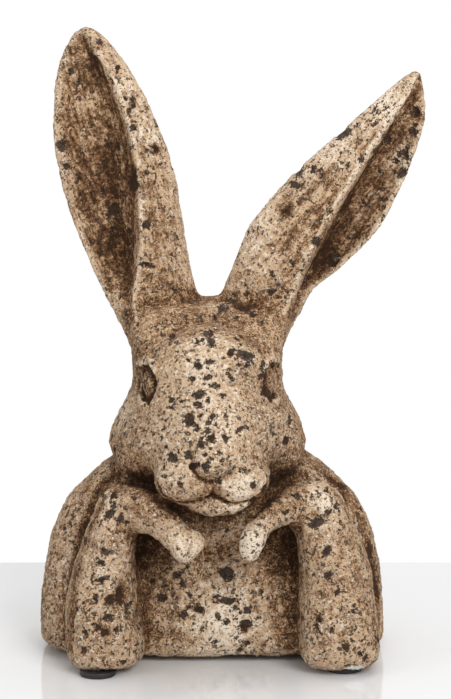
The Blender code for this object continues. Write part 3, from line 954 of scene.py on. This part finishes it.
    def pit_field(self, points: np.ndarray) -> np.ndarray:
        """Works out how deep inside a pit each point is.

        Args:
            points: The skin's points in millimetres.

        Returns:
            The distance inside the nearest pit's outline in millimetres, and below 0 outside.
        """
        tree = KDTree(len(points))
        for index, point in enumerate(points):
            tree.insert(point, index)
        tree.balance()
        inside = np.full(len(points), -2.0)
        shapes = np.random.default_rng(SEED + 1)
        for centre, normal, long, wide, turn in self.pits:
            rim = shapes.uniform(-1, 1, 6)
            near = [index for _, index, _ in tree.find_range(centre, 1.5 * long + 4)]
            if not near:
                continue
            up = Vector((0, 0, 1)) if abs(normal.z) < 0.9 else Vector((0, 1, 0))
            right = up.cross(-normal).normalized()
            up = (-normal).cross(-right).normalized()
            offset = points[near] - np.array(centre)
            u, v = offset @ np.array(right), offset @ np.array(up)
            p = (u * math.cos(turn) + v * math.sin(turn)) / long
            q = (v * math.cos(turn) - u * math.sin(turn)) / wide
            angle = np.arctan2(q, p)
            outline = 1 + self.pit_raggedness * sum(
                (a * np.cos(order * angle) + b * np.sin(order * angle)) / order
                for order, a, b in zip((1, 2, 3), rim[::2], rim[1::2])
            )
            depth = (outline - np.hypot(p, q)) * wide
            inside[near] = np.maximum(inside[near], depth)
        return inside

    def weather(self, piece: bpy.types.Object) -> None:
        """Roughens the carved skin and sinks its pits."""
        points = skin(piece)[0]
        weathered = "weathered"
        group = piece.vertex_groups.new(name=weathered)
        group.add(range(len(points)), 1.0, "REPLACE")
        group.add(np.flatnonzero(points[:, 2] > self.ears_from).tolist(), self.ears_calm, "REPLACE")
        for carving in self.eyes():
            away = np.linalg.norm(points - np.array(carving.centre), axis=1)
            for index in np.flatnonzero(away < self.eye_reach):
                calm = (1 - self.eye_calm) * (1 - away[index] / self.eye_reach)
                group.add([int(index)], 1 - calm, "REPLACE")
        for step in self.roughening:
            texture = bpy.data.textures.new(step.name, "CLOUDS")
            texture.noise_type = step.noise.value
            texture.noise_scale = step.size * MM
            texture.noise_depth = step.layers
            settings = {"texture": texture, "strength": step.strength * MM, "mid_level": 0.5}
            modify(piece, "DISPLACE", vertex_group=weathered, **settings)
        piece.vertex_groups.clear()
        points, normals = skin(piece)
        inside = self.pit_field(points)
        sunk = 0.85 * smoothstep(inside, -0.2, 0.45) + 0.45 * smoothstep(inside, 0.5, 2.2)
        points -= normals * sunk[:, None]
        low, high = (np.array(corner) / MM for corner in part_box("hare"))
        points = np.clip(points, low, high)
        points[points[:, 2] < low[2] + 0.8, 2] = low[2]
        place_points(piece.data, points * MM)

    def thin_out(self, piece: bpy.types.Object) -> None:
        """Thins the mesh out, least of all on the face."""
        points = skin(piece)[0]
        group = piece.vertex_groups.new(name="thin_freely")
        x, y, z = points.T
        face = (y < 2) & (z > 95) & (z < 205) & (np.abs(x + 14) < 58)
        group.add(np.flatnonzero(~face).tolist(), 1.0, "REPLACE")
        group.add(np.flatnonzero(face).tolist(), 0.95, "REPLACE")
        piece.data.calc_loop_triangles()
        share = self.triangles / len(piece.data.loop_triangles)
        modify(piece, "DECIMATE", ratio=share, vertex_group=group.name)
        piece.vertex_groups.clear()

    def shelter(self, points: np.ndarray, normals: np.ndarray) -> tuple[np.ndarray, np.ndarray]:
        """Works out how shut in each point is, by rays against the solid.

        Args:
            points: The skin's points in millimetres.
            normals: Its normals.

        Returns:
            How shut in it is by what is far and by what is close, each from 0 to 1.
        """
        golden = math.pi * (3 - math.sqrt(5))
        fan = []
        for k in range(self.rays):
            lean, turn = math.sqrt((k + 0.5) / self.rays), golden * k
            ahead = math.sqrt(1 - lean * lean)
            fan.append((lean * math.cos(turn), lean * math.sin(turn), ahead))
        picked = np.arange(0, len(points), 9)
        far_share, close_share = np.zeros(len(picked)), np.zeros(len(picked))
        tree = KDTree(len(picked))
        for row, index in enumerate(picked):
            normal = Vector(normals[index])
            side = normal.orthogonal().normalized()
            turn = normal.cross(side)
            start = Vector(points[index]) + normal * 1.6
            tree.insert(points[index], row)
            for a, b, c in fan:
                ray = side * a + turn * b + normal * c
                distance = self.solid.ray_cast(start, ray, self.far_reach)[3]
                if distance is not None:
                    far_share[row] += 1 - distance / self.far_reach
                    close_share[row] += max(0.0, 1 - distance / self.close_reach)
        tree.balance()
        far, near = np.empty(len(points)), np.empty(len(points))
        for index, point in enumerate(points):
            found = tree.find_n(point, 4)
            rows = [row for _, row, _ in found]
            shares = np.array([1 / (distance + 0.4) for _, _, distance in found])
            shares /= shares.sum()
            far[index] = far_share[rows] @ shares
            near[index] = close_share[rows] @ shares
        return far / self.rays, near / self.rays

    def raised(self, piece: bpy.types.Object) -> np.ndarray:
        """Works out how far each point stands out from a smoothed copy of the skin.

        Args:
            piece: The finished skin.

        Returns:
            One height in millimetres for each point.
        """
        points, normals = skin(piece)
        calm = added("calm", piece.data.copy())
        modify(calm, "SMOOTH", factor=0.5, iterations=24)
        heights = np.einsum("ij,ij->i", points - skin(calm)[0], normals)
        bpy.data.objects.remove(calm)
        return heights

    def tones(self, points: np.ndarray, normals: np.ndarray) -> np.ndarray:
        """Adds up the patches where the front is paler, from rubbing and partly painted highlight,
        and where it is darker, from brown patina and partly painted shade.

        Args:
            points: The skin's points in millimetres.
            normals: Its normals.

        Returns:
            One number for each point, above 0 where it is paler.
        """
        tone = np.zeros(len(points))
        for x, z, radius, strength in PATCHES:
            centre = np.array(self.on_front(x, z))
            away = np.linalg.norm((points - centre) * np.array((1, 0.6, 1)), axis=1)
            share = np.exp(-((away / radius) ** 2))
            share *= smoothstep(-normals[:, 1], -0.35, 0.15)
            tone += strength * share
        return tone

    def keep_finish(self, piece: bpy.types.Object) -> None:
        """Keeps what the finish needs at each point of the skin."""
        mesh = piece.data
        points, normals = skin(piece)
        store(mesh, Attribute.PIT, self.pit_field(points))
        relief = np.clip(self.raised(piece) / 0.30, -1.6, 1.6)
        far, close = self.shelter(points, normals)
        tone = self.tones(points, normals)
        # Painted shade in the carvings' grooves and painted highlight on their ribs, partly brown
        # patina
        shade_and_patina = sum(carving.cut(points, normals)[1] for carving in self.carvings())
        # Darkness: painted shade from how shut in each point is, near and far, on top of brown
        # patina, with the carvings' painted shading; lighter on heights and pale patches
        hollow = 0.52 + 0.72 * smoothstep(far, 0.08, 0.60) + 0.55 * smoothstep(close, 0.08, 0.50)
        hollow += shade_and_patina - 0.16 * relief - 0.55 * tone
        # Paleness: rubbed heights and pale patches, partly painted highlight, none in painted shade
        worn_and_highlighted = 0.24 * relief + 0.95 * np.clip(tone, 0, 1)
        worn_and_highlighted -= np.clip(shade_and_patina, -1, 1) + 0.8 * np.clip(hollow - 0.52, 0, 1)
        store(mesh, Attribute.PATINA_AND_SHADE, np.clip(hollow, -0.4, 1.5))
        store(mesh, Attribute.WEAR_AND_HIGHLIGHT, np.clip(worn_and_highlighted, -1, 1.4))
        chip = np.array(self.on_front(*self.chip_place))
        gap = np.linalg.norm((points - chip) * np.array((0.62, 0.8, 1.9)), axis=1)
        store(mesh, Attribute.CHIP, np.clip(1.4 - gap / 4.2, 0, 1.4))


@dataclass
class RubberPads:
    """The round pads that the casting stands on."""

    names: tuple[str, ...] = (
        "pad_front_right",
        "pad_front_left",
        "pad_back_right",
        "pad_back_left",
    )
    sides: int = 64
    edge: float = 0.7 * MM
    seat: float = 0.3 * MM
    rim: float = 3 * MM
    slope: float = 0.5 * MM
    dish: float = 0.4 * MM
    finish: Rubber = field(default_factory=Rubber)

    def build(self) -> list[bpy.types.Object]:
        """Builds the pads where their solids are."""
        rubber = self.finish.material()
        return [self.pad(name, rubber) for name in self.names]

    def pad(self, name: str, rubber: bpy.types.Material) -> bpy.types.Object:
        """Builds one pad, a disc with rounded edges and a shallow dish below.

        Args:
            name: The solid that it stands for.
            rubber: Its material.

        Returns:
            The finished pad.
        """
        low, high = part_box(name)
        middle = (low + high) / 2
        bpy.ops.object.select_all(action="DESELECT")
        bpy.ops.mesh.primitive_cylinder_add(
            vertices=self.sides,
            radius=(high.x - low.x) / 2,
            depth=high.z - low.z + self.seat,
            location=(middle.x, middle.y, middle.z + self.seat / 2),
        )
        piece = bpy.context.active_object
        piece.name = "rubber_" + name
        bpy.ops.object.transform_apply(location=True)
        bpy.ops.object.mode_set(mode="EDIT")
        bpy.ops.mesh.select_mode(type="FACE")
        bpy.ops.mesh.select_all(action="DESELECT")
        bpy.ops.object.mode_set(mode="OBJECT")
        for polygon in piece.data.polygons:
            polygon.select = polygon.normal.z < -0.9
        bpy.ops.object.mode_set(mode="EDIT")
        bpy.ops.mesh.inset(thickness=self.rim)
        bpy.ops.mesh.inset(thickness=self.slope)
        bpy.ops.transform.translate(value=(0, 0, self.dish))
        bpy.ops.object.mode_set(mode="OBJECT")
        sharp = {"limit_method": "ANGLE", "angle_limit": math.radians(60)}
        modify(piece, "BEVEL", width=self.edge, segments=4, **sharp)
        bpy.ops.object.shade_smooth_by_angle(angle=math.radians(40))
        piece.data.materials.append(rubber)
        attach(piece, "root")
        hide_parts(name)
        return piece


# The studio


@dataclass(frozen=True)
class SoftBox:
    """A square soft light: its place and side in metres and its power in watts."""

    name: str
    place: tuple[float, float, float]
    side: float
    power: float


@dataclass
class Studio:
    """A pale glossy table, a white room, soft lights and the camera."""

    table_size: float = 3.2
    table_back: float = 0.20
    table_thickness: float = 0.03
    camera_place: tuple[float, float, float] = (-0.0033, -1.5962, 0.46)
    camera_tilt: float = 9.93
    lens: float = 141.5
    white: float = 1.0
    ambient: float = 0.55
    lights: tuple[SoftBox, ...] = (
        SoftBox("key", (0.8, -1.5, 1.25), 0.9, 23),
        SoftBox("fill", (-1.5, -1.1, 0.8), 1.0, 6),
        SoftBox("top", (0.1, 0.2, 1.6), 1.0, 9),
    )
    aim: tuple[float, float, float] = (0, 0, 0.15)
    finish: GlossyFloor = field(default_factory=GlossyFloor)

    def build(self) -> None:
        """Sets the studio up."""
        self.table()
        self.room()
        for box in self.lights:
            self.hang(box)
        self.camera()

    def table(self) -> None:
        """Lays the table top, whose back edge shows behind the hare."""
        half = self.table_size / 2
        bpy.ops.object.select_all(action="DESELECT")
        bpy.ops.mesh.primitive_cube_add(size=1)
        top = bpy.context.active_object
        top.name = "table_top"
        top.dimensions = (self.table_size, self.table_size, self.table_thickness)
        top.location = (0, self.table_back - half, -self.table_thickness / 2)
        bpy.ops.object.transform_apply(location=True, scale=True)
        top.data.materials.append(self.finish.material())

    def room(self) -> None:
        """Surrounds everything with white that is seen in full and lights more softly."""
        nodes = Nodes(bpy.data.worlds.new("white_room"), "Background")
        camera, glossy = (
            nodes.add("ShaderNodeLightPath", {}, {}, output=kind)
            for kind in ("Is Camera Ray", "Is Glossy Ray")
        )
        seen = camera.math("MAXIMUM", camera, glossy)
        level = seen * (self.white - self.ambient) + self.ambient
        bpy.context.scene.world = nodes.finish({"Color": (1, 1, 1, 1), "Strength": level})
        bpy.context.scene.view_settings.view_transform = "Standard"

    def hang(self, box: SoftBox) -> None:
        """Hangs a soft light that faces the hare."""
        light = bpy.data.lights.new(box.name, "AREA")
        light.energy = box.power
        light.size = box.side
        hung = added(box.name, light)
        hung.location = box.place
        ahead = Vector(self.aim) - Vector(box.place)
        hung.rotation_euler = ahead.to_track_quat("-Z", "Y").to_euler()

    def camera(self) -> None:
        """Stands the camera where the photograph was taken from."""
        lens = bpy.data.cameras.new("camera")
        lens.sensor_width = 36
        lens.lens = self.lens
        stood = added("camera", lens)
        stood.location = self.camera_place
        stood.rotation_euler = (math.radians(90 - self.camera_tilt), 0, 0)
        bpy.context.scene.camera = stood


def report(piece: bpy.types.Object) -> None:
    """Says how big a piece is."""
    piece.data.calc_loop_triangles()
    size = " x ".join(f"{side / MM:.1f}" for side in piece.dimensions)
    log.info("%s: %s mm, %d triangles", piece.name, size, len(piece.data.loop_triangles))


def main() -> None:
    """Builds the hare, its pads and the studio."""
    logging.basicConfig(level=logging.INFO, format="%(message)s")
    Studio().build()
    report(StoneHare().build())
    for pad in RubberPads().build():
        report(pad)


if __name__ == "__main__":
    main()
